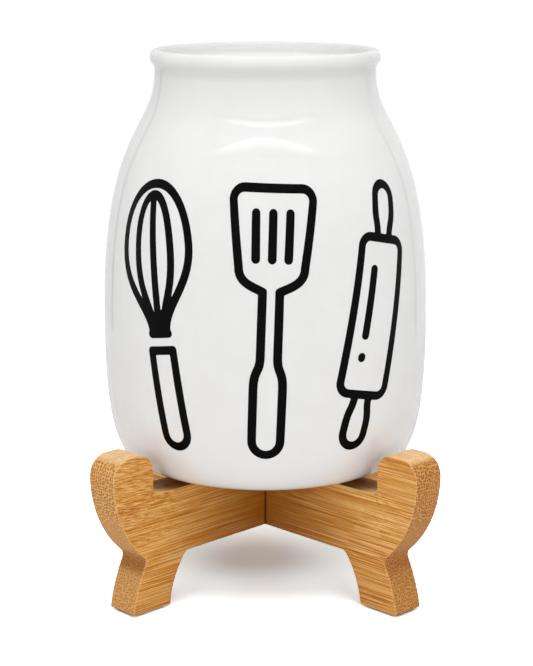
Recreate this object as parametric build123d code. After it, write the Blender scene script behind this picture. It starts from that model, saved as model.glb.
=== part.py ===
"""A round glazed jar on a crossed stand of two halved bamboo boards, for kitchen spoons and spatulas.

Frame: the origin is on the floor under the stand's centre, +Z is up and the jar's front faces -Y.
The boards cross on the diagonals. The lower board runs from front left to rear right, and the upper
board from front right to rear left. All lengths are in millimetres.
"""

from build123d import *
import os

# Boards
BOARD_THICKNESS = 12.0
BEAM_UNDERSIDE = 16.8  # above the foot's sole
SEAT_HEIGHT = 39.05  # above the foot's sole
EDGE_EASING = 0.5  # sanded round every long edge
HALVING_CLEARANCE = 0.1  # on each side of a board in the other board's slot

# Horns, the four corners that keep the jar from sliding off
HORN_RISE = 14.25  # above the seat
HORN_WIDTH = 16.8
HORN_CLEARANCE = 2.1  # outside the belly, so that the jar lifts straight out
HORN_INNER_ROUND = 6.0
HORN_OUTER_ROUND = 6.7
SEAT_CORNER_ROUND = 2.0

# Waist, where the horn's swelling end meets the foot
WAIST_HEIGHT = 17.7  # above the foot's sole
WAIST_DEPTH = 13.7  # inside the horn's widest point
WAIST_ROUND = 2.5

# Feet
FOOT_SETBACK = 7.5  # inside the horn's widest point
FOOT_LENGTH = 15.9
FOOT_BULGE = 0.85  # of the outer face, off straight
LEG_LEAN = 7.3  # of the inner face towards the middle, from sole to beam
LEG_ARCH_RADIUS = 32.0
ARCH_CORNER_ROUND = 2.5
SOLE_ROUND = 0.7

# Pads under the feet
PAD_THICKNESS = 0.6
PAD_INSET = 1.2  # from the foot's faces
PAD_CORNER_ROUND = 1.5

# Jar
JAR_HEIGHT = 139.3
BELLY_RADIUS = 54.5
BELLY_HEIGHT = 46.5  # of the widest line, above the jar's base
FOOT_RING_RADIUS = 37.5
NECK_RADIUS = 36.5
WALL = 3.5
FLOOR_THICKNESS = 5.0

# Shape of the jar's curves, as shares of the height or width that each one spans
BASE_SWEEP = 0.69
BELLY_DROP = 0.83
SHOULDER_FULLNESS = 0.81
NECK_SWEEP = 0.26

# Rolled rim
LIP_RADIUS = 38.0
LIP_WIDTH = 3.6
LIP_CROWN = 2.7  # from the lip's widest line up to its crest
UNDERLIP_HEIGHT = 3.6  # from the neck's narrowest line up to the lip's widest
UNDERLIP_SWEEP = 0.45

# Unglazed foot ring
FOOT_RING_WIDTH = 6.0
FOOT_RING_RECESS = 1.2
FOOT_RING_SLOPE = 0.8

# Places worked out from the sizes above
SOLE_HEIGHT = PAD_THICKNESS
JAR_BASE = SOLE_HEIGHT + SEAT_HEIGHT
HORN_INNER = BELLY_RADIUS + HORN_CLEARANCE
BOARD_REACH = HORN_INNER + HORN_WIDTH
FOOT_OUTER = BOARD_REACH - FOOT_SETBACK
FOOT_INNER = FOOT_OUTER - FOOT_LENGTH
HALVING_HEIGHT = (BEAM_UNDERSIDE + SEAT_HEIGHT) / 2
UP = (0, 1)
DOWN = (0, -1)


def board_outline():
    """One board's face, with x along the board and y up from the foot's sole."""
    horn_top = SEAT_HEIGHT + HORN_RISE
    swell_height = horn_top - HORN_OUTER_ROUND
    arch_end = FOOT_INNER - LEG_LEAN

    seat_end = (HORN_INNER, SEAT_HEIGHT)
    horn_corner = (HORN_INNER, horn_top)
    crown_end = (BOARD_REACH - HORN_OUTER_ROUND, horn_top)
    widest = (BOARD_REACH, swell_height)
    waist = (BOARD_REACH - WAIST_DEPTH, WAIST_HEIGHT)
    toe = (FOOT_OUTER, 0)
    heel = (FOOT_INNER, 0)
    arch_corner = (arch_end, BEAM_UNDERSIDE)

    right = [
        Line((0, SEAT_HEIGHT), seat_end),
        Line(seat_end, horn_corner),
        Line(horn_corner, crown_end),
        TangentArc(widest, crown_end, tangent=UP),
        TangentArc(widest, waist, tangent=DOWN),
        SagittaArc(waist, toe, FOOT_BULGE),
        Line(toe, heel),
        RadiusArc(heel, arch_corner, -LEG_ARCH_RADIUS),
        Line(arch_corner, (0, BEAM_UNDERSIDE)),
    ]
    left = [mirror(edge, Plane.YZ) for edge in right]
    face = make_face(right + left)

    rounds = {
        seat_end: SEAT_CORNER_ROUND,
        horn_corner: HORN_INNER_ROUND,
        waist: WAIST_ROUND,
        toe: SOLE_ROUND,
        heel: SOLE_ROUND,
        arch_corner: ARCH_CORNER_ROUND,
    }
    for (x, y), radius in rounds.items():
        for side in (x, -x):
            corner = face.vertices().sort_by_distance((side, y, 0))[0]
            face = fillet(corner, radius)
    return face


def plain_board():
    """A board before its slot is cut, along X, with its soles at the foot pads' tops."""
    stood_up = Plane((0, 0, SOLE_HEIGHT), x_dir=(1, 0, 0), z_dir=(0, -1, 0))
    board = extrude(stood_up * board_outline(), BOARD_THICKNESS / 2, both=True)
    rims = [f for f in board.faces() if abs(f.normal_at().Y) > 0.99]
    return fillet(ShapeList(rims).edges(), EDGE_EASING)


def halved_board(slot_opens_up):
    """A board with the slot that takes the other board, open at the seat or at the underside."""
    width = BOARD_THICKNESS + 2 * HALVING_CLEARANCE
    floor = SOLE_HEIGHT + HALVING_HEIGHT
    slot = Box(
        width,
        2 * BOARD_THICKNESS,
        SEAT_HEIGHT - BEAM_UNDERSIDE,
        align=(Align.CENTER, Align.CENTER, Align.MIN if slot_opens_up else Align.MAX),
    )
    return plain_board() - Pos(0, 0, floor) * slot


def foot_pad(side):
    """The thin pad under one foot of a board that lies along X. Side is 1 or -1."""
    middle = side * (FOOT_INNER + FOOT_OUTER) / 2
    outline = RectangleRounded(
        FOOT_LENGTH - 2 * PAD_INSET,
        BOARD_THICKNESS - 2 * PAD_INSET,
        PAD_CORNER_ROUND,
    )
    return extrude(Pos(middle, 0, 0) * outline, PAD_THICKNESS)


def s_curve(low, high, low_share, high_share):
    """A curve that leaves low and reaches high upright. The shares say how long it stays so."""
    rise = high[1] - low[1]
    return Bezier(
        low,
        (low[0], low[1] + low_share * rise),
        (high[0], high[1] - high_share * rise),
        high,
    )


def base_curve(foot, belly):
    """The jar's round bottom, flat at foot and upright at belly."""
    return Bezier(
        foot,
        (foot[0] + BASE_SWEEP * (belly[0] - foot[0]), foot[1]),
        (belly[0], belly[1] - BELLY_DROP * (belly[1] - foot[1])),
        belly,
    )


def jar_profile():
    """Half of the jar's section, with x as the radius and y as the height above the jar's base."""
    lip_height = JAR_HEIGHT - LIP_CROWN
    neck_height = lip_height - UNDERLIP_HEIGHT
    lip_middle = LIP_RADIUS - LIP_WIDTH / 2
    ring_inner = FOOT_RING_RADIUS - FOOT_RING_WIDTH

    foot = (FOOT_RING_RADIUS, 0)
    belly = (BELLY_RADIUS, BELLY_HEIGHT)
    neck = (NECK_RADIUS, neck_height)
    lip_outer = (LIP_RADIUS, lip_height)
    lip_inner = (LIP_RADIUS - LIP_WIDTH, lip_height)
    crest = (lip_middle, JAR_HEIGHT)
    neck_inside = (NECK_RADIUS - WALL, neck_height)
    belly_inside = (BELLY_RADIUS - WALL, BELLY_HEIGHT)
    foot_inside = (FOOT_RING_RADIUS - WALL, FLOOR_THICKNESS)
    ring_edge = (ring_inner, 0)
    recess_edge = (ring_inner - FOOT_RING_SLOPE, FOOT_RING_RECESS)
    recess_middle = (0, FOOT_RING_RECESS)
    floor_middle = (0, FLOOR_THICKNESS)

    crown = EllipticalCenterArc(
        (lip_middle, lip_height),
        LIP_WIDTH / 2,
        LIP_CROWN,
        start_angle=0,
        arc_size=180,
    )
    return make_face(
        [
            Line(recess_middle, recess_edge),
            Line(recess_edge, ring_edge),
            Line(ring_edge, foot),
            base_curve(foot, belly),
            s_curve(belly, neck, SHOULDER_FULLNESS, NECK_SWEEP),
            s_curve(neck, lip_outer, UNDERLIP_SWEEP, UNDERLIP_SWEEP),
            crown,
            s_curve(neck_inside, lip_inner, UNDERLIP_SWEEP, UNDERLIP_SWEEP),
            s_curve(belly_inside, neck_inside, SHOULDER_FULLNESS, NECK_SWEEP),
            base_curve(foot_inside, belly_inside),
            Line(foot_inside, floor_middle),
            Line(floor_middle, recess_middle),
        ]
    )


def ceramic_jar():
    """The jar, standing on the boards' seats."""
    upright = Plane((0, 0, JAR_BASE), x_dir=(1, 0, 0), z_dir=(0, -1, 0))
    return revolve(upright * jar_profile(), Axis.Z)


def nodes():
    """Every piece at its place, by name."""
    lower_way = Rot(0, 0, 45)
    upper_way = Rot(0, 0, -45)
    return {
        "ceramic_jar": ceramic_jar(),
        "lower_board": lower_way * halved_board(slot_opens_up=True),
        "upper_board": upper_way * halved_board(slot_opens_up=False),
        "pad_rear_right": lower_way * foot_pad(1),
        "pad_front_left": lower_way * foot_pad(-1),
        "pad_front_right": upper_way * foot_pad(1),
        "pad_rear_left": upper_way * foot_pad(-1),
    }


os.makedirs("parts", exist_ok=True)
for name, shape in nodes().items():
    shape.label = name
    export_step(shape, f"parts/{name}.step")
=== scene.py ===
"""The looks of a round glazed jar on a crossed bamboo stand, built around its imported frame.

All lengths are in metres unless a name or comment says otherwise. The origin is on the floor under
the stand's centre, +Z is up and the jar's front faces -Y.
"""

import logging
import math
from dataclasses import dataclass, field
from enum import Enum
from typing import Iterator

import bpy
import numpy as np
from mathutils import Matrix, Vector


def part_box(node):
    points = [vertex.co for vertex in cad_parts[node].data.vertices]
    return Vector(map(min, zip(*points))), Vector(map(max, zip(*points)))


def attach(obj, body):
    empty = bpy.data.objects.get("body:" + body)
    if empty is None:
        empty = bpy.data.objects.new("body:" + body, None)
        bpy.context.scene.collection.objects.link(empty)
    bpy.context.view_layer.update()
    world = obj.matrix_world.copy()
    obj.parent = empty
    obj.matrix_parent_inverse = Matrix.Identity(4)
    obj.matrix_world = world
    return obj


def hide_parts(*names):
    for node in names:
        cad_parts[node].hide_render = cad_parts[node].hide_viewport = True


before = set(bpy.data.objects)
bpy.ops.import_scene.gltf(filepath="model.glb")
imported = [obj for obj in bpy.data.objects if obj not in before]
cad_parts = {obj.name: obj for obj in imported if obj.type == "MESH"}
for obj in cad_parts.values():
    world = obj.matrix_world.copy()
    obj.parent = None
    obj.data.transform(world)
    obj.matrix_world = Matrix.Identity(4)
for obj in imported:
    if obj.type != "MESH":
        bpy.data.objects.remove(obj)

Array = np.ndarray
Object = bpy.types.Object
Material = bpy.types.Material
Colour = tuple[float, float, float]
Place = tuple[float, float, float]
Point = tuple[float, float]
Counts = tuple[int, int]

MM = 0.001
PER_MM = 1000.0
LOG = logging.getLogger("spoon_holder")
WHITE: Colour = (1.0, 1.0, 1.0)

# The middle value of a noise, and the numbers of a Mix node's sockets for colours.
MIDDLE = 0.5
MIX_FACTOR, MIX_BELOW, MIX_ABOVE, MIX_RESULT = 0, 6, 7, 2

# Points closer than this are one, and an edge between faces stays sharp from this angle in degrees.
SAME_PLACE = 1e-7
SHARP_FROM = 40.0


class BoardWay(Enum):
    """The angle of a board's length about Z, in degrees."""

    FRONT_LEFT_TO_REAR_RIGHT = 45.0
    FRONT_RIGHT_TO_REAR_LEFT = -45.0


class Blend(Enum):
    """The ways that two colours are laid over each other."""

    MIX = "MIX"
    MULTIPLY = "MULTIPLY"


@dataclass(frozen=True)
class Band:
    """A stretch of values over which an effect comes in, from none at start to its share at end."""

    start: float
    end: float
    share: float = 1.0


@dataclass(frozen=True)
class Grain:
    """A noise pattern: the width of its bumps, or one for each direction, and its finer layers."""

    width: float | Place
    detail: float
    roughness: float = 0.5


@dataclass(frozen=True)
class Shade:
    """A socket of a node tree that takes part in Python arithmetic.

    Each operation adds a node and gives its result.
    """

    tree: "ShaderTree"
    socket: bpy.types.NodeSocket

    def output(self, name: str) -> "Shade":
        """Another output of the node that this one comes from."""
        return Shade(self.tree, self.socket.node.outputs[name])

    def maths(self, operation: str, *others: "Shade | float") -> "Shade":
        """The result of a Math node with this value first."""
        return self.tree.node("ShaderNodeMath", {"operation": operation}, dict(enumerate((self, *others))))

    def __add__(self, other: "Shade | float") -> "Shade":
        """This value plus another."""
        return self.maths("ADD", other)

    __radd__ = __add__

    def __sub__(self, other: "Shade | float") -> "Shade":
        """This value less another."""
        return self.maths("SUBTRACT", other)

    def __rsub__(self, other: float) -> "Shade":
        """Another value less this one."""
        return self.maths("MULTIPLY", -1.0).maths("ADD", other)

    def __mul__(self, other: "Shade | float") -> "Shade":
        """This value times another."""
        return self.maths("MULTIPLY", other)

    __rmul__ = __mul__

    def __truediv__(self, other: "Shade | float") -> "Shade":
        """This value over another."""
        return self.maths("DIVIDE", other)

    def __abs__(self) -> "Shade":
        """This value without its sign."""
        return self.maths("ABSOLUTE")

    def floor(self) -> "Shade":
        """The whole number at or below this value."""
        return self.maths("FLOOR")

    def larger(self, other: "Shade | float") -> "Shade":
        """The larger of this value and another."""
        return self.maths("MAXIMUM", other)

    def ease(self, band: Band) -> "Shade":
        """A mask that goes smoothly from 0 at the band's start to its share at its end."""
        sockets = {"Value": self, "From Min": band.start, "From Max": band.end, "To Max": band.share}
        return self.tree.node("ShaderNodeMapRange", {"interpolation_type": "SMOOTHSTEP"}, sockets)

    def mix(self, below: "Shade | Colour", above: "Shade | Colour", blend: Blend = Blend.MIX) -> "Shade":
        """A colour laid over another as far as this mask goes.

        Args:
            below: The colour below.
            above: The colour on top.
            blend: How the two are laid over each other.

        Returns:
            The mixed colour.
        """
        sockets = {MIX_FACTOR: self, MIX_BELOW: opaque(below), MIX_ABOVE: opaque(above)}
        settings = {"data_type": "RGBA", "blend_type": blend.value}
        return self.tree.node("ShaderNodeMix", settings, sockets, MIX_RESULT)

    def vector(self, operation: str, other: "Shade | Place") -> "Shade":
        """The vector that a Vector Math node gives with this one first."""
        return self.tree.node("ShaderNodeVectorMath", {"operation": operation}, {0: self, 1: other})

    def dot(self, other: "Shade") -> "Shade":
        """How far this vector runs the same way as another, as a number."""
        return self.vector("DOT_PRODUCT", other).output("Value")

    def length(self) -> "Shade":
        """How long this vector is."""
        return self.tree.node("ShaderNodeVectorMath", {"operation": "LENGTH"}, {0: self}, "Value")

    def part(self, axis: str) -> "Shade":
        """This vector's X, Y or Z, whose node also has the others as outputs."""
        return self.tree.node("ShaderNodeSeparateXYZ", {}, {0: self}, axis)

    def joined(self, y: "Shade", z: "Shade | float") -> "Shade":
        """The vector that has this value as its X."""
        return self.tree.node("ShaderNodeCombineXYZ", {}, {"X": self, "Y": y, "Z": z})

    def turned(self, angle: float) -> "Shade":
        """This vector turned about Z by an angle in degrees."""
        sockets = {"Vector": self, "Angle": math.radians(angle)}
        return self.tree.node("ShaderNodeVectorRotate", {"rotation_type": "Z_AXIS"}, sockets)

    def noise(self, grain: Grain) -> "Shade":
        """The value of a noise pattern at this place, from 0 to 1.

        Args:
            grain: The pattern.

        Returns:
            The value, whose node also has a Color output.
        """
        widths = grain.width if isinstance(grain.width, tuple) else (grain.width,) * 3
        sockets = {"Vector": self.vector("DIVIDE", widths), "Scale": 1.0}
        finer = {"Detail": grain.detail, "Roughness": grain.roughness}
        return self.tree.node("ShaderNodeTexNoise", {}, sockets | finer, "Fac")

    def bump(self, distance: float) -> "Shade":
        """The normal bumped by this height map, of which 1 stands as high as the distance."""
        sockets = {"Height": self, "Distance": distance, "Strength": 1.0}
        return self.tree.node("ShaderNodeBump", {}, sockets, "Normal")


class ShaderTree:
    """The node tree of a material or of the world."""

    def __init__(self, tree: bpy.types.NodeTree) -> None:
        """Takes a tree to fill and empties it."""
        self.tree = tree
        self.tree.nodes.clear()

    @classmethod
    def of_material(cls, name: str) -> "ShaderTree":
        """The tree of a new material.

        Args:
            name: The material's name.

        Returns:
            The empty tree, which knows its material.
        """
        material = bpy.data.materials.new(name)
        material.use_nodes = True
        made = cls(material.node_tree)
        made.material = material
        return made

    def node(self, kind: str, settings: dict | None = None, sockets: dict | None = None,
             output: str | int = 0) -> Shade:
        """Adds a node, sets it up and feeds its sockets.

        Args:
            kind: The node's type.
            settings: The node's own settings by name, which are set first.
            sockets: Values or links by the name or number of the node's input.
            output: The name or number of the output that is given back.

        Returns:
            The chosen output.
        """
        node = self.tree.nodes.new(kind)
        for name, value in (settings or {}).items():
            setattr(node, name, value)
        for name, value in (sockets or {}).items():
            if isinstance(value, Shade):
                self.tree.links.new(value.socket, node.inputs[name])
            else:
                node.inputs[name].default_value = value
        return Shade(self, node.outputs[output])

    def facing(self) -> Shade:
        """Which way the surface looks."""
        return self.node("ShaderNodeTexCoord", output="Normal")

    def object_millimetres(self) -> Shade:
        """The place on the piece itself, in millimetres of the frame."""
        return self.node("ShaderNodeTexCoord", output="Object").vector("MULTIPLY", (PER_MM, PER_MM, PER_MM))

    def lookers(self) -> tuple[Shade, Shade]:
        """Whether the camera looks, and whether a mirror or a clear thing does."""
        camera = self.node("ShaderNodeLightPath", output="Is Camera Ray")
        return camera, camera.output("Is Glossy Ray").larger(camera.output("Is Transmission Ray"))

    def seen_or(self, unseen: float) -> Shade:
        """1 where the camera or a mirror looks, and the unseen value for all other light."""
        camera, mirror = self.lookers()
        return camera.larger(mirror) * (1 - unseen) + unseen

    def emission(self, strength: Shade | float) -> Shade:
        """A shader that shines white at the given strength."""
        return self.node("ShaderNodeEmission", {}, {"Color": opaque(WHITE), "Strength": strength})

    def surface(self, sockets: dict) -> Material:
        """Ends the tree in a Principled shader with the given inputs and gives the material."""
        self.end("ShaderNodeOutputMaterial", self.node("ShaderNodeBsdfPrincipled", {}, sockets))
        return self.material

    def end(self, kind: str, shader: Shade) -> None:
        """Links a shader to a new output node of the given kind."""
        self.tree.links.new(shader.socket, self.tree.nodes.new(kind).inputs["Surface"])


def opaque(colour: Shade | Colour) -> Shade | tuple[float, float, float, float]:
    """A colour with full alpha, or a link as it is."""
    return colour if isinstance(colour, Shade) else (*colour, 1.0)


@dataclass(frozen=True)
class WhiteGlaze:
    """Neutral white glaze with a bare, warmer foot ring under it. Sizes are in millimetres."""

    name: str = "white_glaze"
    white: Colour = (0.862, 0.860, 0.855)
    cloud: Colour = (0.845, 0.842, 0.834)
    # Painted light: the glaze inside the mouth is whiter, for the light that fills it.
    inner_painted_light: Colour = (0.985, 0.983, 0.978)
    # Painted shade: the darker band round the neck under the lip.
    under_lip_shade: Colour = (0.775, 0.770, 0.760)
    # Painted shade: the darker colour of the rim's inner side near its top.
    rim_inner_shade: Colour = (0.79, 0.787, 0.781)
    bare_clay: Colour = (0.66, 0.585, 0.49)
    glaze_line: Colour = (0.60, 0.50, 0.39)
    clouds: Grain = Grain(9.0, 4.0)
    waves: Grain = Grain(14.0, 1.0)
    grit: Grain = Grain(0.3, 3.0)
    cloudy: Band = Band(0.35, 0.70)
    gritty: Band = Band(0.45, 0.75, 0.5)
    bare_foot: Band = Band(0.55, 0.30)
    foot_line: Band = Band(0.85, 0.55, 0.6)
    neck_height: float = 133.6
    neck: Band = Band(3.0, 0.6, 0.85)
    inward: Band = Band(2.0, -6.0)
    inner_light_top: Band = Band(138.6, 137.0)
    rim_shade_inward: Band = Band(0.0, 0.4)
    rim_shade_start: Band = Band(137.4, 138.8)
    least_roughness: float = 0.03
    cloud_roughness: float = 0.04
    bare_roughness: float = 0.65
    wave_depth: float = 0.048
    grit_depth: float = 0.05

    def material(self, base: float) -> Material:
        """Builds the finish.

        Args:
            base: The height of the jar's foot above the floor.

        Returns:
            The material.
        """
        tree = ShaderTree.of_material(self.name)
        place = tree.object_millimetres()
        height = place.part("Z") - base * PER_MM
        clouds = place.noise(self.clouds)
        grit = place.noise(self.grit)
        bare = height.ease(self.bare_foot)
        inside = self._inside(place)

        glaze = clouds.ease(self.cloudy).mix(self.white, self.cloud)
        # Painted shade: a darker band round the neck, where the lip shades the wall.
        glaze = abs(height - self.neck_height).ease(self.neck).mix(glaze, self.under_lip_shade)
        # Painted light: the wall inside the mouth, below the rim, is painted whiter.
        glaze = (inside * height.ease(self.inner_light_top)).mix(glaze, self.inner_painted_light)
        # Painted shade: the rim's inner side near its top is painted darker.
        thin = inside.ease(self.rim_shade_inward) * height.ease(self.rim_shade_start)
        glaze = thin.mix(glaze, self.rim_inner_shade)
        clay = grit.ease(self.gritty).mix(self.bare_clay, self.glaze_line)
        lined = (height.ease(self.foot_line) * (1 - bare)).mix(glaze, self.glaze_line)
        relief = place.noise(self.waves) * self.wave_depth + bare * grit * self.grit_depth
        return tree.surface({
            "Base Color": bare.mix(lined, clay),
            "Roughness": clouds * self.cloud_roughness + self.least_roughness + bare * self.bare_roughness,
            "IOR": 1.5,
            "Normal": relief.bump(MM),
        })

    def _inside(self, place: Shade) -> Shade:
        """Where the wall looks towards the jar's axis, for the painted light inside the mouth and the
        painted shade on the rim.
        """
        flat = place.vector("MULTIPLY", (1.0, 1.0, 0.0))
        return place.tree.facing().dot(flat).ease(self.inward)


@dataclass(frozen=True)
class BlackLine:
    """The black of the fired line drawing. Sizes are in millimetres."""

    name: str = "black_line"
    black: Colour = (0.0022, 0.0021, 0.0023)
    thin: Colour = (0.0055, 0.0052, 0.0054)
    patches: Grain = Grain(1.6, 5.0, 0.6)
    patchy: Band = Band(0.45, 0.80)
    patch_depth: float = 0.004
    least_roughness: float = 0.16
    patch_roughness: float = 0.12

    def material(self) -> Material:
        """Builds the finish.

        Returns:
            The material.
        """
        tree = ShaderTree.of_material(self.name)
        patches = tree.object_millimetres().noise(self.patches)
        return tree.surface({
            "Base Color": patches.ease(self.patchy).mix(self.black, self.thin),
            "Roughness": patches * self.patch_roughness + self.least_roughness,
            "Specular IOR Level": 0.04,
            "Normal": patches.bump(self.patch_depth * MM),
        })


@dataclass(frozen=True)
class Bamboo:
    """Laminated bamboo, sanded and oiled. Sizes are in millimetres, along, across and up a board."""

    name: str
    way: BoardWay
    seed: float
    waviness: float
    line_strength: float
    waist_shade_strength: float
    end_pale: Colour
    end_tan: Colour
    pale: Colour
    amber: Colour = (0.675, 0.286, 0.038)
    straw: Colour = (0.98, 0.67, 0.29)
    brown: Colour = (0.26, 0.076, 0.001)
    stain: Colour = (0.62, 0.38, 0.13)
    # Painted light: the paler colour of the horns' tops.
    horn_top_light: Colour = (0.90, 0.62, 0.34)
    # Painted shade: the darker brown of the seats beside the jar's foot.
    seat_painted_shade: Colour = (0.36, 0.26, 0.10)
    # The paler eased edges: partly wear, partly a painted highlight.
    edge_wear_and_highlight: Colour = (0.95, 0.60, 0.24)
    # Painted shade: the dark line where the boards meet.
    joint_shade: Colour = (0.055, 0.022, 0.004)
    layer_width: float = 6.0
    layer_shift: float = 3.7
    course_height: float = 8.5
    cell_level: float = 0.5
    strip_shift: Place = (400.0, 60.0, 60.0)
    bundle_pitch: float = 0.98
    dense_pitch: float = 0.60
    bundle_scatter: float = 0.55
    drift: Place = (0.0, 3.0, 1.2)
    fleck_slope: float = 0.10
    board_half_width: float = 6.1
    waist_height: float = 16.6
    slow: Grain = Grain((45.0, 6.0, 6.0), 1.0)
    wave_patches: Grain = Grain((18.0, 9.0, 7.0), 1.0)
    fibres: Grain = Grain((22.0, 0.22, 0.20), 2.0)
    broad: Grain = Grain((90.0, 5.0, 3.4), 1.0)
    narrow: Grain = Grain((40.0, 1.5, 0.7), 2.0, 0.6)
    lines: Grain = Grain((50.0, 0.8, 0.34), 1.0)
    flecks: Grain = Grain((4.0, 0.8, 0.36), 1.0)
    end_facing: Band = Band(0.30, 0.72)
    edge_inner: Band = Band(0.15, 0.55)
    edge_outer: Band = Band(0.985, 0.85, 0.30)
    top_facing: Band = Band(0.70, 0.97)
    wave_heights: Band = Band(19.0, 28.0)
    wave_reach: Band = Band(42.0, 52.0)
    outer_waves: Band = Band(0.30, 0.50)
    inner_waves: Band = Band(0.60, 0.70, 0.5)
    broad_strength: float = 1.1
    narrow_strength: float = 1.2
    tone: Band = Band(0.30, 0.72)
    wavy_loss: float = 0.6
    pale_lines: Band = Band(0.47, 0.39, 0.72)
    dark_lines: Band = Band(0.525, 0.61)
    fine_lines: Band = Band(0.34, 0.12, 0.5)
    pale_flecks: Band = Band(0.46, 0.38, 0.85)
    dark_flecks: Band = Band(0.52, 0.60)
    fibre_amber: Band = Band(0.60, 0.35, 0.20)
    strip_amber: float = 0.14
    low_darkening: Band = Band(24.0, 4.0, 0.22)
    wavy_stain: float = 0.16
    dense_heights: Band = Band(35.0, 25.0)
    denser_heights: Band = Band(12.0, 19.0, 0.6)
    least_dense: float = 0.4
    coarse_net: Band = Band(0.34, 0.60, 0.9)
    fine_net: Band = Band(0.32, 0.62, 0.8)
    coarse_dots: Band = Band(0.38, 0.20, 0.85)
    fine_dots: Band = Band(0.40, 0.18, 0.80)
    waist_shade: Band = Band(4.5, 0.8)
    waist_shade_dots: float = 0.6
    strip_dots: float = 0.5
    least_dots: float = 0.7
    # Painted shade: darker brown towards the crossing.
    crossing_shade: Band = Band(60.0, 4.0, 0.90)
    raised: Band = Band(42.65, 48.65)
    horn_light_share: float = 0.68
    seat_shade_reach: Band = Band(20.0, 31.0)
    seat_painted_light: Band = Band(35.0, 43.0, 0.80)
    gap: Band = Band(0.7, 0.1, 0.85)
    side_roughness: float = 0.46
    end_roughness: float = 0.14
    fibre_gloss: float = 0.08
    fibre_relief: float = 0.12
    fine_pits: Band = Band(0.34, 0.14, 0.10)
    end_pits: Band = Band(0.32, 0.14, 0.7)
    relief_depth: float = 0.04

    def material(self) -> Material:
        """Builds the finish.

        Returns:
            The material.
        """
        tree = ShaderTree.of_material(self.name)
        fixed = tree.object_millimetres()
        spun = fixed.turned(-self.way.value)
        along = spun.part("X")
        up = along.output("Z")
        reach = abs(along)
        end_face, edge, top = self._faces(tree)

        strip = self._strip(along.output("Y"), up)
        place = spun.vector("ADD", strip.output("Color").vector("MULTIPLY", self.strip_shift))
        wavy = self._wavy(place, reach) * up.ease(self.wave_heights)
        threaded = self._threaded(place)
        coarse = self._bundle_distance(threaded, self.bundle_pitch)
        fine = self._bundle_distance(threaded, self.dense_pitch)
        fibres = place.noise(self.fibres)

        side = self._side(threaded, fine, wavy)
        side = fibres.ease(self.fibre_amber).mix(side, self.amber)
        side = (strip * self.strip_amber).mix(side, self.amber)
        # The side faces darken towards the foot of the board, and in the wavy patches.
        side = self._stained(up.ease(self.low_darkening) + wavy * self.wavy_stain, side)
        colour = end_face.mix(side, self._end(coarse, fine, up, strip))
        # The eased edges are paler: partly wear, partly a painted highlight where the fillets catch the
        # light.
        colour = edge.mix(colour, self.edge_wear_and_highlight)
        # Painted shade: the boards darken in brown towards the crossing, where they shade each other.
        colour = reach.ease(self.crossing_shade).mix(colour, self.brown)
        # Painted light: the horns' tops are paler, for the sheen of the light from above.
        raised = up.ease(self.raised)
        colour = (top * raised * self.horn_light_share).mix(colour, self.horn_top_light)
        # Painted shade and light on the seats: darker brown beside the jar's foot, pale straw out towards
        # the horns.
        seat = top * (1 - raised)
        outer = abs(fixed.part("Y"))
        colour = (seat * outer.ease(self.seat_shade_reach)).mix(colour, self.seat_painted_shade, Blend.MULTIPLY)
        colour = (seat * outer.ease(self.seat_painted_light)).mix(colour, self.straw)
        # Painted shade: a thin dark line where the two boards meet at the crossing.
        colour = abs(reach - self.board_half_width).ease(self.gap).mix(colour, self.joint_shade)

        pits = fine.ease(self.fine_pits) + coarse.ease(self.end_pits) * end_face
        return tree.surface({
            "Base Color": colour,
            "Roughness": self.side_roughness + end_face * self.end_roughness - fibres * self.fibre_gloss,
            "IOR": 1.45,
            "Specular IOR Level": 0.30,
            "Normal": (fibres * self.fibre_relief - pits).bump(self.relief_depth * MM),
        })

    def _faces(self, tree: ShaderTree) -> tuple[Shade, Shade, Shade]:
        """Masks that tell the board's faces apart by which way they look.

        Args:
            tree: The tree to fill.

        Returns:
            The masks of the end grain, the eased edges and the faces that look up.
        """
        along = tree.facing().turned(-self.way.value).part("X")
        across = abs(along.output("Y"))
        edge = across.ease(self.edge_inner) * across.ease(self.edge_outer)
        return abs(along).ease(self.end_facing), edge, along.output("Z").ease(self.top_facing)

    def _strip(self, across: Shade, up: Shade) -> Shade:
        """A random value for each glued strip.

        Args:
            across: The place across the board.
            up: The place up the board.

        Returns:
            The strip's value, from 0 to 1, whose node also has a Color output.
        """
        layer = (across / self.layer_width).floor()
        course = ((up + layer * self.layer_shift + self.seed) / self.course_height).floor()
        cell = {"Vector": (layer + self.seed).joined(course, self.cell_level)}
        return across.tree.node("ShaderNodeTexWhiteNoise", {"noise_dimensions": "3D"}, cell, "Value")

    def _wavy(self, place: Shade, reach: Shade) -> Shade:
        """Where the fibres run in short waves, which is out on the horns and in a few patches."""
        patches = place.noise(self.wave_patches)
        outer = reach.ease(self.wave_reach) * patches.ease(self.outer_waves)
        return (outer + patches.ease(self.inner_waves)) * self.waviness

    def _threaded(self, place: Shade) -> Shade:
        """The place among the fibres, which wander from straight across and up the board."""
        bend = place.noise(self.slow).output("Color").vector("SUBTRACT", (MIDDLE, MIDDLE, MIDDLE))
        return place.vector("ADD", bend.vector("MULTIPLY", self.drift))

    def _bundle_distance(self, place: Shade, pitch: float) -> Shade:
        """How far the nearest fibre bundle's middle is.

        Args:
            place: The place among the wandering fibres.
            pitch: How far apart the bundles lie.

        Returns:
            The distance, in units of the pitch.
        """
        across = place.part("Y")
        cut = (across / pitch).joined(across.output("Z") / pitch, 0.0)
        sockets = {"Vector": cut, "Scale": 1.0, "Randomness": self.bundle_scatter}
        settings = {"voronoi_dimensions": "2D", "feature": "F1"}
        return place.tree.node("ShaderNodeTexVoronoi", settings, sockets, "Distance")

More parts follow.
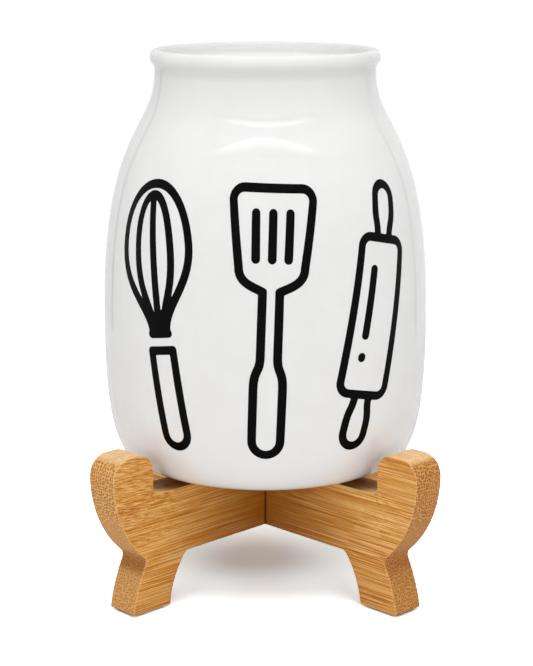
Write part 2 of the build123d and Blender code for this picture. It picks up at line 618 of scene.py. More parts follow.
    def _side(self, place: Shade, fine: Shade, wavy: Shade) -> Shade:
        """The colour of the faces that the fibres run along.

        Args:
            place: The place among the wandering fibres.
            fine: The distance to the nearest small bundle.
            wavy: Where the fibres run in short waves.

        Returns:
            The colour.
        """
        broad, narrow, lines = (place.noise(grain) for grain in (self.broad, self.narrow, self.lines))
        flecks = self._sloped(place).noise(self.flecks)
        tone = (broad - MIDDLE) * self.broad_strength + (narrow - MIDDLE) * self.narrow_strength + MIDDLE
        straight = self.line_strength * (1 - wavy * self.wavy_loss)
        colour = tone.ease(self.tone).mix(self.amber, self.pale)
        colour = (lines.ease(self.pale_lines) * straight).mix(colour, self.straw)
        colour = self._stained(lines.ease(self.dark_lines) * straight, colour)
        colour = self._stained(fine.ease(self.fine_lines) * straight, colour)
        colour = (flecks.ease(self.pale_flecks) * wavy).mix(colour, self.straw)
        return self._stained(flecks.ease(self.dark_flecks) * wavy, colour)

    def _sloped(self, place: Shade) -> Shade:
        """The place where the short flecks lie level, though they climb outwards on the board."""
        along = place.part("X")
        return along.joined(along.output("Y"), along.output("Z") + along * self.fleck_slope)

    def _stained(self, share: Shade, colour: Shade) -> Shade:
        """The colour where it is darkened by the fibre bundles' warm brown."""
        return share.mix(colour, self.stain, Blend.MULTIPLY)

    def _end(self, coarse: Shade, fine: Shade, up: Shade, strip: Shade) -> Shade:
        """The colour of the end grain: dark dots in a pale net, finer lower down, with painted shade and
        stronger dots at the waist.

        Args:
            coarse: The distance to the nearest large bundle.
            fine: The distance to the nearest small bundle.
            up: The height.
            strip: The glued strip's random value.

        Returns:
            The colour.
        """
        dense = up.ease(self.dense_heights) * (up.ease(self.denser_heights) + self.least_dense)
        loose = 1 - dense
        net = coarse.ease(self.coarse_net) * loose + fine.ease(self.fine_net) * dense
        dots = coarse.ease(self.coarse_dots) * loose + fine.ease(self.fine_dots) * dense
        # Painted shade: the end grain darkens in a band at the waist, where the end face is shaded.
        waist_shade = abs(up - self.waist_height).ease(self.waist_shade)
        colour = net.mix(self.end_tan, self.end_pale)
        colour = (waist_shade * self.waist_shade_strength).mix(colour, self.brown)
        strength = strip * self.strip_dots + waist_shade * self.waist_shade_dots + self.least_dots
        return self._stained(dots * strength, colour)


@dataclass(frozen=True)
class DarkPad:
    """The near-black finish of the foot pads, which shows as a thin dark line under each foot. Sizes are in
    millimetres.
    """

    name: str = "dark_pad"
    dark: Colour = (0.018, 0.016, 0.015)
    dusty: Colour = (0.07, 0.062, 0.055)
    grain: Grain = Grain(0.35, 4.0, 0.65)
    dusted: Band = Band(0.50, 0.85)
    grain_depth: float = 0.05
    roughness: float = 0.86
    grain_gloss: float = 0.2

    def material(self) -> Material:
        """Builds the finish.

        Returns:
            The material.
        """
        tree = ShaderTree.of_material(self.name)
        grain = tree.object_millimetres().noise(self.grain)
        return tree.surface({
            "Base Color": grain.ease(self.dusted).mix(self.dark, self.dusty),
            "Roughness": self.roughness - grain * self.grain_gloss,
            "Normal": grain.bump(self.grain_depth * MM),
        })


def bezier(points: tuple[Point, Point, Point, Point], count: int) -> Array:
    """A cubic curve.

    Args:
        points: Its start, its two pulls and its end.
        count: How many points it is read at.

    Returns:
        The points on the curve, one row each.
    """
    share = np.linspace(0, 1, count)[:, None]
    start, pull_out, pull_in, end = (np.array(p, float) for p in points)
    rest = 1 - share
    bent = 3 * rest**2 * share * pull_out + 3 * rest * share**2 * pull_in
    return rest**3 * start + bent + share**3 * end


def upright(low: Point, high: Point, low_share: float, high_share: float, count: int) -> Array:
    """A curve that leaves its lower end and reaches its upper end upright.

    Args:
        low: Its lower end.
        high: Its upper end.
        low_share: How much of the rise it stays upright for at its lower end.
        high_share: The same at its upper end.
        count: How many points it has.

    Returns:
        The points on the curve, one row each.
    """
    rise = high[1] - low[1]
    pulls = (low[0], low[1] + low_share * rise), (high[0], high[1] - high_share * rise)
    return bezier((low, *pulls, high), count)


def arc(centre: Point, radius: float, start: float, end: float, count: int) -> Array:
    """The points of a circle from one angle to another, in degrees, one row each."""
    angles = np.radians(np.linspace(start, end, count))
    return np.stack([centre[0] + radius * np.cos(angles), centre[1] + radius * np.sin(angles)], 1)


def mirrored(points: Array) -> Array:
    """The points with their first coordinate's sign turned, in reverse order."""
    return points[::-1] * np.array([-1.0, 1.0])


def around(angle: Array, radius: Array | float, height: Array | float) -> Array:
    """Points round the vertical axis, at angles from the front towards +X."""
    return np.stack(np.broadcast_arrays(radius * np.sin(angle), -radius * np.cos(angle), height), -1)


def linked(name: str, data: bpy.types.ID) -> Object:
    """Adds an object to the scene.

    Args:
        name: Its name.
        data: Its mesh, light or camera.

    Returns:
        The object.
    """
    thing = bpy.data.objects.new(name, data)
    bpy.context.scene.collection.objects.link(thing)
    return thing


def new_piece(name: str, vertices: Array, faces: list, material: Material) -> Object:
    """Makes a smooth-shaded mesh object.

    Args:
        name: The piece's name.
        vertices: Its points, one row each.
        faces: Its faces, as lists of point numbers.
        material: Its finish.

    Returns:
        The object, linked to the scene.
    """
    mesh = bpy.data.meshes.new(name)
    mesh.from_pydata(vertices.tolist(), [], faces)
    mesh.validate()
    mesh.polygons.foreach_set("use_smooth", [True] * len(mesh.polygons))
    mesh.set_sharp_from_angle(angle=math.radians(SHARP_FROM))
    mesh.materials.append(material)
    LOG.info("%s: %d points, %d faces", name, len(mesh.vertices), len(mesh.polygons))
    return linked(name, mesh)


@dataclass
class Jar:
    """The slip-cast jar, turned from one section line.

    Each swell of its wall has a strength, a number of waves round the jar, a phase and a twist over
    the height. Counts are numbers of points on a curve.
    """

    node: str = "ceramic_jar"
    body: str = "jar"
    belly_height: float = 46.5 * MM
    foot_ring_radius: float = 37.5 * MM
    neck_radius: float = 36.5 * MM
    wall: float = 3.5 * MM
    floor_thickness: float = 5.0 * MM
    base_sweep: float = 0.557
    base_rise: float = 2.0 * MM
    belly_drop: float = 0.99
    shoulder_fullness: float = 0.81
    neck_sweep: float = 0.26
    lip_radius: float = 38.0 * MM
    lip_width: float = 3.6 * MM
    lip_crown: float = 2.7 * MM
    underlip_height: float = 3.6 * MM
    underlip_sweep: float = 0.45
    ring_width: float = 6.0 * MM
    ring_recess: float = 1.2 * MM
    ring_slope: float = 0.8 * MM
    ring_bevel: float = 1.0 * MM
    unevenness: float = 0.05 * MM
    ridge_height: float = 116.0 * MM
    ridge_width: float = 4.5 * MM
    ridge_rise: float = 0.075 * MM
    swells: tuple[tuple[float, ...], ...] = ((1.0, 2, 0.6, 1.9), (0.6, 3, -1.1, -4.3), (0.35, 7, 0.0, 9.0))
    ripple: tuple[float, ...] = (0.25, 21.0, 2.0)
    segments: int = 224
    recess_shares: tuple[float, ...] = (0, 0.3, 0.7, 1)
    floor_shares: tuple[float, ...] = (0.66, 0.33, 0)
    outer_counts: Counts = (26, 90)
    inner_counts: Counts = (16, 34)
    fine_counts: Counts = (400, 800)
    underlip_count: int = 10
    crown_count: int = 17
    inner_lip_count: int = 8
    base: float = field(init=False)
    height: float = field(init=False)
    belly_radius: float = field(init=False)

    def __post_init__(self) -> None:
        """Takes the jar's place and its overall size from its node."""
        low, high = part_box(self.node)
        self.base = low.z
        self.height = high.z - low.z
        self.belly_radius = (high.x - low.x) / 2

    def _wall_curves(self, inset: float, foot_height: float, counts: Counts) -> list[Array]:
        """The round bottom and the shoulder of the outside, or of the inside.

        Args:
            inset: How far inside the outer surface they run.
            foot_height: The height where the round bottom starts.
            counts: How many points each of the two curves has.

        Returns:
            The two curves, from the bottom up, as radius and height.
        """
        foot = (self.foot_ring_radius - inset, foot_height)
        belly = (self.belly_radius - inset, self.belly_height)
        neck = (self.neck_radius - inset, self._neck_height())
        pull = (foot[0] + self.base_sweep * (belly[0] - foot[0]), foot[1] + self.base_rise)
        drop = (belly[0], belly[1] - self.belly_drop * (belly[1] - foot[1]))
        bottom = bezier((foot, pull, drop, belly), counts[0])
        return [bottom, upright(belly, neck, self.shoulder_fullness, self.neck_sweep, counts[1])]

    def _neck_height(self) -> float:
        """The height of the neck's narrowest line above the base."""
        return self.height - self.lip_crown - self.underlip_height

    def outside(self, angle: Array, height: Array, lift: float) -> Array:
        """Points on the jar's outer surface, or lifted off it.

        Args:
            angle: The angles about the axis from the front, towards +X.
            height: The heights above the base.
            lift: How far the points stand off the surface.

        Returns:
            The points, one row each.
        """
        line = np.concatenate(self._wall_curves(0.0, 0.0, self.fine_counts))
        radius = np.interp(height, line[:, 1], line[:, 0]) + self._uneven(angle, height)
        step = 0.2 * MM
        above = np.interp(height + step, line[:, 1], line[:, 0])
        below = np.interp(height - step, line[:, 1], line[:, 0])
        tilt = np.arctan2(below - above, 2 * step)
        return around(angle, radius + lift * np.cos(tilt), self.base + height + lift * np.sin(tilt))

    def _uneven(self, angle: Array, height: Array | float) -> Array:
        """The slight unevenness of a cast and glazed wall, and its ridge.

        Args:
            angle: The angles about the axis.
            height: The heights above the base.

        Returns:
            How far the wall stands out at each angle.
        """
        rise = height / self.height
        swollen = sum(
            part * np.sin(waves * angle + phase + twist * rise) for part, waves, phase, twist in self.swells
        )
        part, turns, sway = self.ripple
        rippled = part * np.sin(turns * rise + sway * np.sin(angle))
        ridge = self.ridge_rise * np.exp(-(((height - self.ridge_height) / self.ridge_width) ** 2))
        return self.unevenness * (swollen + rippled) / 2 + ridge

    def section(self) -> Array:
        """The jar's section line from the middle of its underside, up the outside and down the inside.

        Returns:
            The line's points, as radius and height above the base.
        """
        neck_height = self._neck_height()
        lip_height = self.height - self.lip_crown
        half_lip = self.lip_width / 2
        ring_inner = self.foot_ring_radius - self.ring_width
        recess_radius = ring_inner - self.ring_slope
        floor_radius = self.foot_ring_radius - self.wall
        sweep = self.underlip_sweep

        recess = [(recess_radius * share, self.ring_recess) for share in self.recess_shares]
        ring = [(ring_inner, 0.0), (self.foot_ring_radius - self.ring_bevel, 0.0)]
        outer = self._wall_curves(0.0, 0.0, self.outer_counts)
        lip_outer = (self.lip_radius, lip_height)
        under = upright((self.neck_radius, neck_height), lip_outer, sweep, sweep, self.underlip_count)
        half_turn = arc((0.0, 0.0), 1.0, 0, 180, self.crown_count)
        crown = half_turn * (half_lip, self.lip_crown) + (self.lip_radius - half_lip, lip_height)
        inner_neck = (self.neck_radius - self.wall, neck_height)
        lip_inner = (self.lip_radius - self.lip_width, lip_height)
        inside_lip = upright(inner_neck, lip_inner, sweep, sweep, self.inner_lip_count)
        inner = self._wall_curves(self.wall, self.floor_thickness, self.inner_counts)
        floor = [(floor_radius * share, self.floor_thickness) for share in self.floor_shares]
        inside = [curve[::-1] for curve in (inside_lip, inner[1], inner[0])]
        line = np.concatenate([recess, ring, *outer, under, crown, *inside, floor])
        kept = [0] + [i for i in range(1, len(line)) if np.hypot(*(line[i] - line[i - 1])) > SAME_PLACE]
        return line[kept]

    def build(self, glaze: WhiteGlaze) -> Object:
        """Turns the section line into the jar and puts it in the frame.

        Args:
            glaze: The jar's finish.

        Returns:
            The jar.
        """
        line = self.section()
        turn = np.arange(self.segments) * (2 * math.pi / self.segments)
        first, last = ([[0.0, 0.0, self.base + up]] for up in (line[0, 1], line[-1, 1]))
        rings = [around(turn, out + self._uneven(turn, up), self.base + up) for out, up in line[1:-1]]
        points = np.concatenate([first, *rings, last])
        piece = new_piece("glazed_jar", points, self._faces(len(rings)), glaze.material(self.base))
        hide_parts(self.node)
        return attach(piece, self.body)

    def _faces(self, rings: int) -> list[list[int]]:
        """The faces of a lathe mesh whose first and last points are on the axis.

        Args:
            rings: How many rings of points lie between the two.

        Returns:
            The faces, looking outwards.
        """
        count = self.segments
        last = 1 + rings * count
        top = last - count
        faces = []
        for i in range(count):
            j = (i + 1) % count
            faces.append([0, 1 + j, 1 + i])
            faces += [[low + i, low + j, low + count + j, low + count + i] for low in range(1, top, count)]
            faces.append([top + i, top + j, last])
        return faces


@dataclass(frozen=True)
class Motif:
    """One utensil of the line drawing, drawn upright about its middle, in millimetres."""

    middle: Point
    tilt: float

    def strokes(self) -> list[Array]:
        """The motif's lines, each a row of points."""
        raise NotImplementedError

    def placed(self) -> Iterator[Array]:
        """Turns the lines by the tilt and moves them to the motif's place.

        Returns:
            The lines, one after another.
        """
        angle = math.radians(self.tilt)
        turn = np.array([[math.cos(angle), math.sin(angle)], [-math.sin(angle), math.cos(angle)]])
        for line in self.strokes():
            yield line @ turn + np.array(self.middle)


@dataclass(frozen=True)
class Whisk(Motif):
    """A balloon whisk."""

    top: float = 42.0
    collar: float = -5.0
    foot: float = -42.0
    collar_half_width: float = 3.4
    shoulder_drop: float = 5.4
    grip_half_width: float = 4.3
    wire_half_widths: tuple[float, ...] = (14.5, 7.3)
    wire_starts: tuple[float, ...] = (-2.9, -1.9)
    wire_step: float = 3.4
    fullness: float = 0.58
    collar_pull: float = 9.0
    side_pull: float = 13.0
    crown_pull: float = 12.0

    def strokes(self) -> list[Array]:
        """Draws the wires, the collar and the grip.

        Returns:
            The lines.
        """
        lines = []
        for number, (start, half) in enumerate(zip(self.wire_starts, self.wire_half_widths)):
            top = self.top - self.wire_step * number
            widest = self.collar + self.fullness * (top - self.collar)
            foot, side = (start, self.collar), (-half, widest)
            pulls = (start, self.collar + self.collar_pull), (-half, widest - self.side_pull)
            rise = bezier((foot, *pulls, side), count=20)
            pulls = (-half, widest + self.crown_pull), (-self.fullness * half, top)
            left = np.concatenate([rise, bezier((side, *pulls, (0, top)), count=16)])
            lines.append(np.concatenate([left, mirrored(left)]))
        lines.append(np.array([(0.0, self.collar), (0.0, self.top - self.wire_step)]))
        half, shoulder = self.grip_half_width, self.collar - self.shoulder_drop
        end = arc((0, self.foot + half), half, 180, 360, count=16)
        lines.append(np.concatenate([[(-half, shoulder)], end, [(half, shoulder), (-half, shoulder)]]))
        lines.append(np.array([(side * self.collar_half_width, self.collar) for side in (-1, 1)]))
        return lines


@dataclass(frozen=True)
class Turner(Motif):
    """A slotted turner."""

    top: float = 42.0
    blade_foot: float = 12.0
    grip_top: float = -20.0
    stem_foot: float = -10.0
    foot: float = -42.0
    top_half_width: float = 13.6
    foot_half_width: float = 10.6
    corner: float = 3.6
    stem_half_width: float = 2.7
    grip_half_width: float = 4.6
    heel_rise: float = 6.0
    heel_pull: float = 1.0
    stem_pull: float = 3.0
    stem_drop: float = 1.5
    slot_places: tuple[float, ...] = (-5.7, 0.0, 5.7)
    slot_foot: float = 8.5
    slot_top: float = 7.5
    slot_taper: float = 0.92

    def strokes(self) -> list[Array]:
        """Draws the blade, its slots and the handle.

        Returns:
            The lines.
        """
        blade, stem, grip = self.foot_half_width, self.stem_half_width, self.grip_half_width
        foot = self.blade_foot
        corner = (-self.top_half_width + self.corner, self.top - self.corner)
        upper = arc(corner, self.corner, 90, 180, count=8)
        heel = (-blade, foot + self.heel_rise), (-blade, foot + self.heel_pull)
        lower = bezier((*heel, (-stem - self.stem_pull, foot), (-stem, foot - self.stem_drop)), count=12)
        ends = (-stem, self.stem_foot), (-grip, self.grip_top)
        swell = upright(*ends, low_share=0.5, high_share=0.6, count=10)
        end = arc((0, self.foot + grip), grip, 180, 270, count=8)
        left = np.concatenate([upper, lower, swell, end])
        low, high = foot + self.slot_foot, self.top - self.slot_top
        slots = [np.array([(self.slot_taper * x, low), (x, high)]) for x in self.slot_places]
        return [np.concatenate([left, mirrored(left), left[:1]]), *slots]


@dataclass(frozen=True)
class RollingPin(Motif):
    """A rolling pin."""

    barrel_half_length: float = 25.0
    barrel_half_width: float = 9.2
    corner: float = 3.4
    reach: float = 42.0
    neck_half_width: float = 2.7
    neck_length: float = 10.0
    knob_half_width: float = 4.1
    shine_place: float = -3.1
    shine_runs: tuple[Point, ...] = ((-6.0, 15.0), (-13.0, -13.2))

    def strokes(self) -> list[Array]:
        """Draws the barrel, its two handles and two marks of shine.

        Returns:
            The lines.
        """
        end, corner, knob = self.barrel_half_length, self.corner, self.knob_half_width
        quarter = arc((self.barrel_half_width - corner, end - corner), corner, 0, 90, count=8)
        top = np.concatenate([quarter, mirrored(quarter)])
        ends = (-self.neck_half_width, end), (-knob, end + self.neck_length)
        swell = upright(*ends, low_share=0.5, high_share=0.5, count=10)
        left = np.concatenate([swell, arc((0, self.reach - knob), knob, 180, 90, count=8)])
        handle = np.concatenate([left, mirrored(left)])
        shine = [np.array([(self.shine_place, height) for height in run]) for run in self.shine_runs]
        return [np.concatenate([top, -top, top[:1]]), handle, -handle, *shine]


@dataclass
class LineDrawing:
    """The fired line drawing on the jar's front, as a thin film with real thickness."""

    jar: Jar
    stroke: float = 2.8 * MM
    film: float = 0.06 * MM
    sunk: float = 0.04 * MM
    cell: float = 0.4 * MM
    least_run: float = 1e-12
    motifs: tuple[Motif, ...] = (
        Whisk(middle=(-36.5, 58.0), tilt=9.0),
        Turner(middle=(1.5, 58.0), tilt=-2.0),
        RollingPin(middle=(38.0, 58.0), tilt=-12.0),
    )

    def _reach(self, lines: list[Array]) -> tuple[Array, Array, Array]:
        """How far each point of a grid lies outside the strokes.

        Args:
            lines: The drawing's lines, in metres.

        Returns:
            The grid's places along and up, and the distances, negative inside a stroke.
        """
        margin = self.stroke
        every = np.concatenate(lines)
        low, high = every.min(0) - margin, every.max(0) + margin
        along = np.arange(low[0], high[0] + self.cell, self.cell)
        up = np.arange(low[1], high[1] + self.cell, self.cell)
        reach = np.full((len(up), len(along)), self.stroke)
        for line in lines:
            for start, end in zip(line[:-1], line[1:]):
                corner = np.minimum(start, end) - margin
                opposite = np.maximum(start, end) + margin
                i0, i1 = np.searchsorted(along, (corner[0], opposite[0]))
                j0, j1 = np.searchsorted(up, (corner[1], opposite[1]))
                x, y = np.meshgrid(along[i0:i1] - start[0], up[j0:j1] - start[1])
                run = end - start
                length = max(float(run @ run), self.least_run)
                share = np.clip((x * run[0] + y * run[1]) / length, 0, 1)
                away = np.hypot(x - share * run[0], y - share * run[1])
                reach[j0:j1, i0:i1] = np.minimum(reach[j0:j1, i0:i1], away)
        return along, up, reach - self.stroke / 2

    def _fill(self, along: Array, up: Array, reach: Array) -> tuple[Array, list]:
        """Cuts the strokes' area out of the grid.

        Args:
            along: The grid's places along the wall.
            up: The grid's heights.
            reach: The distance outside the strokes at each grid point.

        Returns:
            The flat points and the faces.
        """
        numbers, places, faces = {}, {}, []

        def number(key: tuple, place: Point) -> int:
            """The number of a point, which is added if it is new."""
            places.setdefault(key, place)
            return numbers.setdefault(key, len(numbers))

        inside = reach < 0
        near = inside[:-1, :-1] | inside[:-1, 1:] | inside[1:, :-1] | inside[1:, 1:]
        for j, i in zip(*np.nonzero(near)):
            corners = [(j, i), (j, i + 1), (j + 1, i + 1), (j + 1, i)]
            face = []
            for here, there in zip(corners, corners[1:] + corners[:1]):
                if inside[here]:
                    face.append(number(here, (along[here[1]], up[here[0]])))
                if inside[here] != inside[there]:
                    low, high = sorted((here, there))
                    share = reach[low] / (reach[low] - reach[high])
                    x = along[low[1]] + share * (along[high[1]] - along[low[1]])
                    y = up[low[0]] + share * (up[high[0]] - up[low[0]])
                    face.append(number((low, high), (x, y)))
            if len(face) > 2:
                faces.append(face)
        return np.array(list(places.values())), faces

    def build(self, finish: BlackLine) -> Object:
        """Lays the drawing on the jar's wall.

        Args:
            finish: The drawing's finish.

        Returns:
            The drawing.
        """
        lines = [line * MM for motif in self.motifs for line in motif.placed()]
        flat, faces = self._fill(*self._reach(lines))
        angle = flat[:, 0] / self.jar.belly_radius
        lifts = (self.film, -self.sunk)
        points = np.concatenate([self.jar.outside(angle, flat[:, 1], lift) for lift in lifts])
        shift = len(flat)
        sides = {}
        for face in faces:
            for edge in zip(face, face[1:] + face[:1]):
                if edge[::-1] in sides:
                    del sides[edge[::-1]]
                else:
                    sides[edge] = True
        walls = [[b, a, a + shift, b + shift] for a, b in sides]
        under = [[v + shift for v in reversed(face)] for face in faces]
        piece = new_piece("line_drawing", points, faces + walls + under, finish.material())
        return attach(piece, self.jar.body)


@dataclass
class Stand:
    """The crossed stand: two halved boards and the pads under their feet."""

    # Partly painted light: the upper board's paler side faces (looking front-left) and darker end faces
    # (looking front-right) stand partly for a stronger light from the front-left; the rest is the boards'
    # own tone.
    boards: tuple[Bamboo, ...] = (
        Bamboo(
            name="lower_board_bamboo",
            way=BoardWay.FRONT_LEFT_TO_REAR_RIGHT,
            seed=3.0,
            waviness=1.0,
            line_strength=1.1,
            waist_shade_strength=0.62,
            end_pale=(0.755, 0.437, 0.162),
            end_tan=(0.59, 0.293, 0.086),
            pale=(0.835, 0.448, 0.104),
        ),
        Bamboo(
            name="upper_board_bamboo",
            way=BoardWay.FRONT_RIGHT_TO_REAR_LEFT,
            seed=11.0,
            waviness=0.15,
            line_strength=1.35,
            waist_shade_strength=0.28,
            end_pale=(0.66, 0.326, 0.098),
            end_tan=(0.48, 0.209, 0.050),
            pale=(0.87, 0.487, 0.146),
        ),
    )
    board_nodes: tuple[str, ...] = ("lower_board", "upper_board")
    pad_nodes: tuple[str, ...] = ("pad_front_left", "pad_front_right", "pad_rear_left", "pad_rear_right")

    def dress(self, pads: DarkPad) -> None:
        """Gives each board its own bamboo, and the pads their dark finish.

        Args:
            pads: The pads' finish.
        """
        for name, bamboo in zip(self.board_nodes, self.boards):
            self._finish(name, bamboo.material())
        pad_finish = pads.material()
        for name in self.pad_nodes:
            self._finish(name, pad_finish)

    def _finish(self, name: str, material: Material) -> None:
        """Puts a material on a node of the frame.

        Args:
            name: The node's name.
            material: The material.
        """
        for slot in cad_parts[name].material_slots:
            slot.material = material
        LOG.info("%s: dressed in %s", name, material.name)


@dataclass(frozen=True)
class Card:
    """An upright card that only mirrors see, curved about the jar's axis.

    Angles are about the axis in degrees, where 0 is the front and 180 the back.
    """

    name: str
    start: float
    end: float
    brightness: float
    distance: float = 0.42
    top: float = 0.75


@dataclass(frozen=True)
class Softbox:
    """A rectangular soft light that looks at the jar's middle. Its radiance is 1 where it is white."""

    name: str
    place: Place
    size: tuple[float, float]
    radiance: float


@dataclass
class Studio:
    """The camera, the soft lights, the pale floor and what the glaze mirrors."""

    camera_place: Place = (0.0004, -0.58196, 0.21594)
    camera_tilt: float = 77.14
    lens: float = 94.71
    sensor: float = 36.0
    farthest_seen: float = 60.0
    ambient: float = 0.02
    aim: Place = (0.0, 0.0, 0.1)
    softboxes: tuple[Softbox, ...] = (
        Softbox("overhead", (0.0, -0.15, 1.5), (1.2, 1.2), 3.6),
        Softbox("rear_high", (0.0, 0.9, 1.5), (2.2, 0.9), 0.3),
        Softbox("front", (0.0, -1.9, 0.42), (3.2, 0.7), 3.36),
        Softbox("rear", (0.0, 1.9, 0.42), (3.2, 0.7), 3.4),
        Softbox("left", (-1.5, -0.3, 0.45), (1.4, 0.8), 1.9),
        Softbox("right", (1.5, -0.3, 0.45), (1.4, 0.8), 1.9),
    )
    arc_grid: Counts = (25, 8)
    arc_distance: float = 1.3
    arc_height: float = 0.155
    arc_rise: float = 47.4
    arc_drop: float = 10.5
    arc_half_turn: float = 56.0
    arc_depth: float = 6.0
    arc_brightness: float = 6.5
    arc_fade: float = 2.8
    arc_end_fade: int = 4
    card_columns: int = 12
    card_foot: float = 0.001
    floor_corners: int = 96
    floor_radius: float = 14.0
    floor_grey: float = 0.72
    floor_mirrored: float = 0.86
    floor_seen: float = 1.82
    far_floor_light: float = 0.3
    far_floor: Band = Band(0.25, 0.6)
    shade_middle: Place = (-0.003, 0.008, 0.0)
    shade_core: Colour = (0.575, 0.555, 0.525)
    shade_rim: Colour = (1.09, 1.27, 1.38)
    core_reach: Band = Band(0.035, 0.006)
    rim_reach: Band = Band(0.16, 0.045)
    cards: tuple[Card, ...] = (
        Card("back_card", 162.0, 198.0, 0.84),
        Card("rear_left_card", -162.0, -134.0, 0.82),
        Card("rear_right_card", 142.0, 162.0, 0.95),
        Card("left_gap_card", -133.5, -130.0, 0.12),
        Card("right_gap_card", 125.0, 127.5, 0.25),
        Card("left_side_card", -129.5, -116.0, 0.85),
        Card("right_side_card", 115.0, 124.5, 0.90),
        Card("right_far_card", 128.0, 141.5, 0.95),
    )

    def build(self) -> None:
        """Sets up the whole studio."""
        self._camera()
        self._world()
        for softbox in self.softboxes:
            self._light(softbox)
        self._arc_light()
        for card in self.cards:
            self._card(card)
        self._floor()

    def _camera(self) -> None:
        """Places the camera where the photograph was taken from."""
        data = bpy.data.cameras.new("camera")
        data.lens = self.lens
        data.sensor_width = self.sensor
        data.clip_end = self.farthest_seen
        camera = linked("camera", data)
        camera.location = self.camera_place
        camera.rotation_euler = (math.radians(self.camera_tilt), 0.0, 0.0)
        bpy.context.scene.camera = camera
        bpy.context.scene.view_settings.view_transform = "Standard"

    def _world(self) -> None:
        """Makes the world a white backdrop that lights the object as a soft grey one."""
        world = bpy.data.worlds.new("studio")
        world.use_nodes = True
        bpy.context.scene.world = world
        tree = ShaderTree(world.node_tree)
        sockets = {"Color": opaque(WHITE), "Strength": tree.seen_or(self.ambient)}
        tree.end("ShaderNodeOutputWorld", tree.node("ShaderNodeBackground", {}, sockets))

    def _light(self, softbox: Softbox) -> None:
        """Hangs a soft light that no mirror shows.

        Args:
            softbox: The light.
        """
        data = bpy.data.lights.new(softbox.name, "AREA")
        data.shape = "RECTANGLE"
        data.size, data.size_y = softbox.size
        data.energy = softbox.radiance * math.pi * data.size * data.size_y
        light = linked(softbox.name, data)
        light.location = softbox.place
        aim = Vector(self.aim) - Vector(softbox.place)
        light.rotation_euler = aim.to_track_quat("-Z", "Y").to_euler()
        self._hide(light, "camera", "glossy")

    def _hide(self, thing: Object, *rays: str) -> None:
        """Hides an object from the named kinds of rays."""
        for ray in rays:
            setattr(thing, f"visible_{ray}", False)

    def _stage_mesh(self, name: str, points: list, faces: list, tree: ShaderTree) -> Object:
        """Adds a mesh that isn't part of the object.

        Args:
            name: Its name.
            points: Its points.
            faces: Its faces.
            tree: The tree of its material.

        Returns:
            The stage object.
        """
        mesh = bpy.data.meshes.new(name)
        mesh.from_pydata(points, [], faces)
        mesh.materials.append(tree.material)
        thing = linked(name, mesh)
        return thing

    def _glowing_sheet(self, name: str, points: Array, tree: ShaderTree, strength: Shade | float) -> Object:
        """Adds a bent white sheet that shines.

        Args:
            name: Its name.
            points: Its points, in columns of rows.
            tree: The tree of its material.
            strength: How bright it is.

        Returns:
            The sheet.
        """
        columns, rows = points.shape[:2]
        firsts = [column * rows + row for column in range(columns - 1) for row in range(rows - 1)]
        faces = [[first, first + rows, first + rows + 1, first + 1] for first in firsts]
        tree.end("ShaderNodeOutputMaterial", tree.emission(strength))
        return self._stage_mesh(name, points.reshape(-1, 3).tolist(), faces, tree)

    def _card(self, card: Card) -> None:
        """Stands a card up round the object, for mirrors only.

        Args:
            card: The card.
        """
        turn = np.radians(np.linspace(card.start, card.end, self.card_columns))[:, None]
        points = around(turn, card.distance, np.array([self.card_foot, card.top]))
        sheet = self._glowing_sheet(card.name, points, ShaderTree.of_material(card.name), card.brightness)
        self._hide(sheet, "camera", "diffuse", "transmission", "volume_scatter", "shadow")

    def _arc_light(self) -> None:
        """Hangs the bowed light that draws the two arcs on the shoulder, brightest at its upper edge."""
        columns, rows = self.arc_grid
        turn, drop = np.meshgrid(np.linspace(-1, 1, columns), np.linspace(0, 1, rows), indexing="ij")
        rise = np.radians(self.arc_rise - self.arc_drop * turn**2 - self.arc_depth * drop)
        side = np.radians(self.arc_half_turn * turn)
        height = self.arc_height + self.arc_distance * np.sin(rise)
        points = around(side, self.arc_distance * np.cos(rise), height)
        tree = ShaderTree.of_material("arc_light")
        share = tree.node("ShaderNodeAttribute", {"attribute_name": "fade"}, output="Fac")
        light = self._glowing_sheet("arc_light", points, tree, share * self.arc_brightness)
        fade = (1 - drop) ** self.arc_fade * (1 - turn**self.arc_end_fade)
        light.data.attributes.new("fade", "FLOAT", "POINT").data.foreach_set("value", fade.ravel())
        self._hide(light, "camera", "diffuse", "shadow")

    def _floor(self) -> None:
        """Lays the pale floor, which turns plain white well away from the object."""
        tree = ShaderTree.of_material("floor")
        camera, mirror = tree.lookers()
        place = tree.node("ShaderNodeTexCoord", output="Object")
        lift = camera * (self.floor_seen - self.floor_grey)
        level = lift + mirror * (self.floor_mirrored - self.floor_grey) + self.floor_grey
        paint = level.joined(level, level).vector("MULTIPLY", self._floor_painted_shade(place, camera))
        near = tree.node("ShaderNodeBsdfDiffuse", {}, {"Color": paint})
        far = tree.emission(tree.seen_or(self.far_floor_light))
        away = place.length().ease(self.far_floor)
        mixed = tree.node("ShaderNodeMixShader", {}, {0: away, 1: near, 2: far})
        tree.end("ShaderNodeOutputMaterial", mixed)
        rim = arc((0.0, 0.0), self.floor_radius, 0, 360, self.floor_corners + 1)[:-1]
        self._stage_mesh("floor", [(x, y, 0.0) for x, y in rim], [list(range(len(rim)))], tree)

    def _floor_painted_shade(self, place: Shade, camera: Shade) -> Shade:
        """What the camera sees the floor's colour times: a painted deeper core of shade, in a painted rim
        that lifts and cools the shade's edge.

        Args:
            place: The place on the floor.
            camera: Whether the camera looks.

        Returns:
            The colour to multiply by.
        """
        away = place.vector("SUBTRACT", self.shade_middle).length()
        tint = (away.ease(self.rim_reach) * camera).mix(WHITE, self.shade_rim)
        return (away.ease(self.core_reach) * camera).mix(tint, self.shade_core)


def corners(box: tuple[Vector, Vector]) -> list[list[float]]:
    """The two corners of a box as plain lists."""
    return [list(corner) for corner in box]


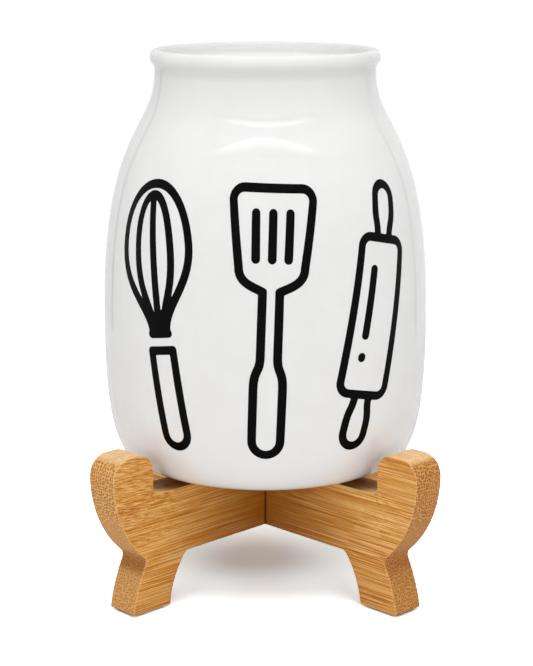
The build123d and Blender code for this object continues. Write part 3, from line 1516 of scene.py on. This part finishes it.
def main() -> None:
    """Builds every piece in order and reports it."""
    logging.basicConfig(level=logging.INFO, format="%(name)s: %(message)s")
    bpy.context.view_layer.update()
    Studio().build()
    Stand().dress(DarkPad())
    jar = Jar()
    jar.build(WhiteGlaze())
    LineDrawing(jar).build(BlackLine())


if __name__ == "__main__":
    main()
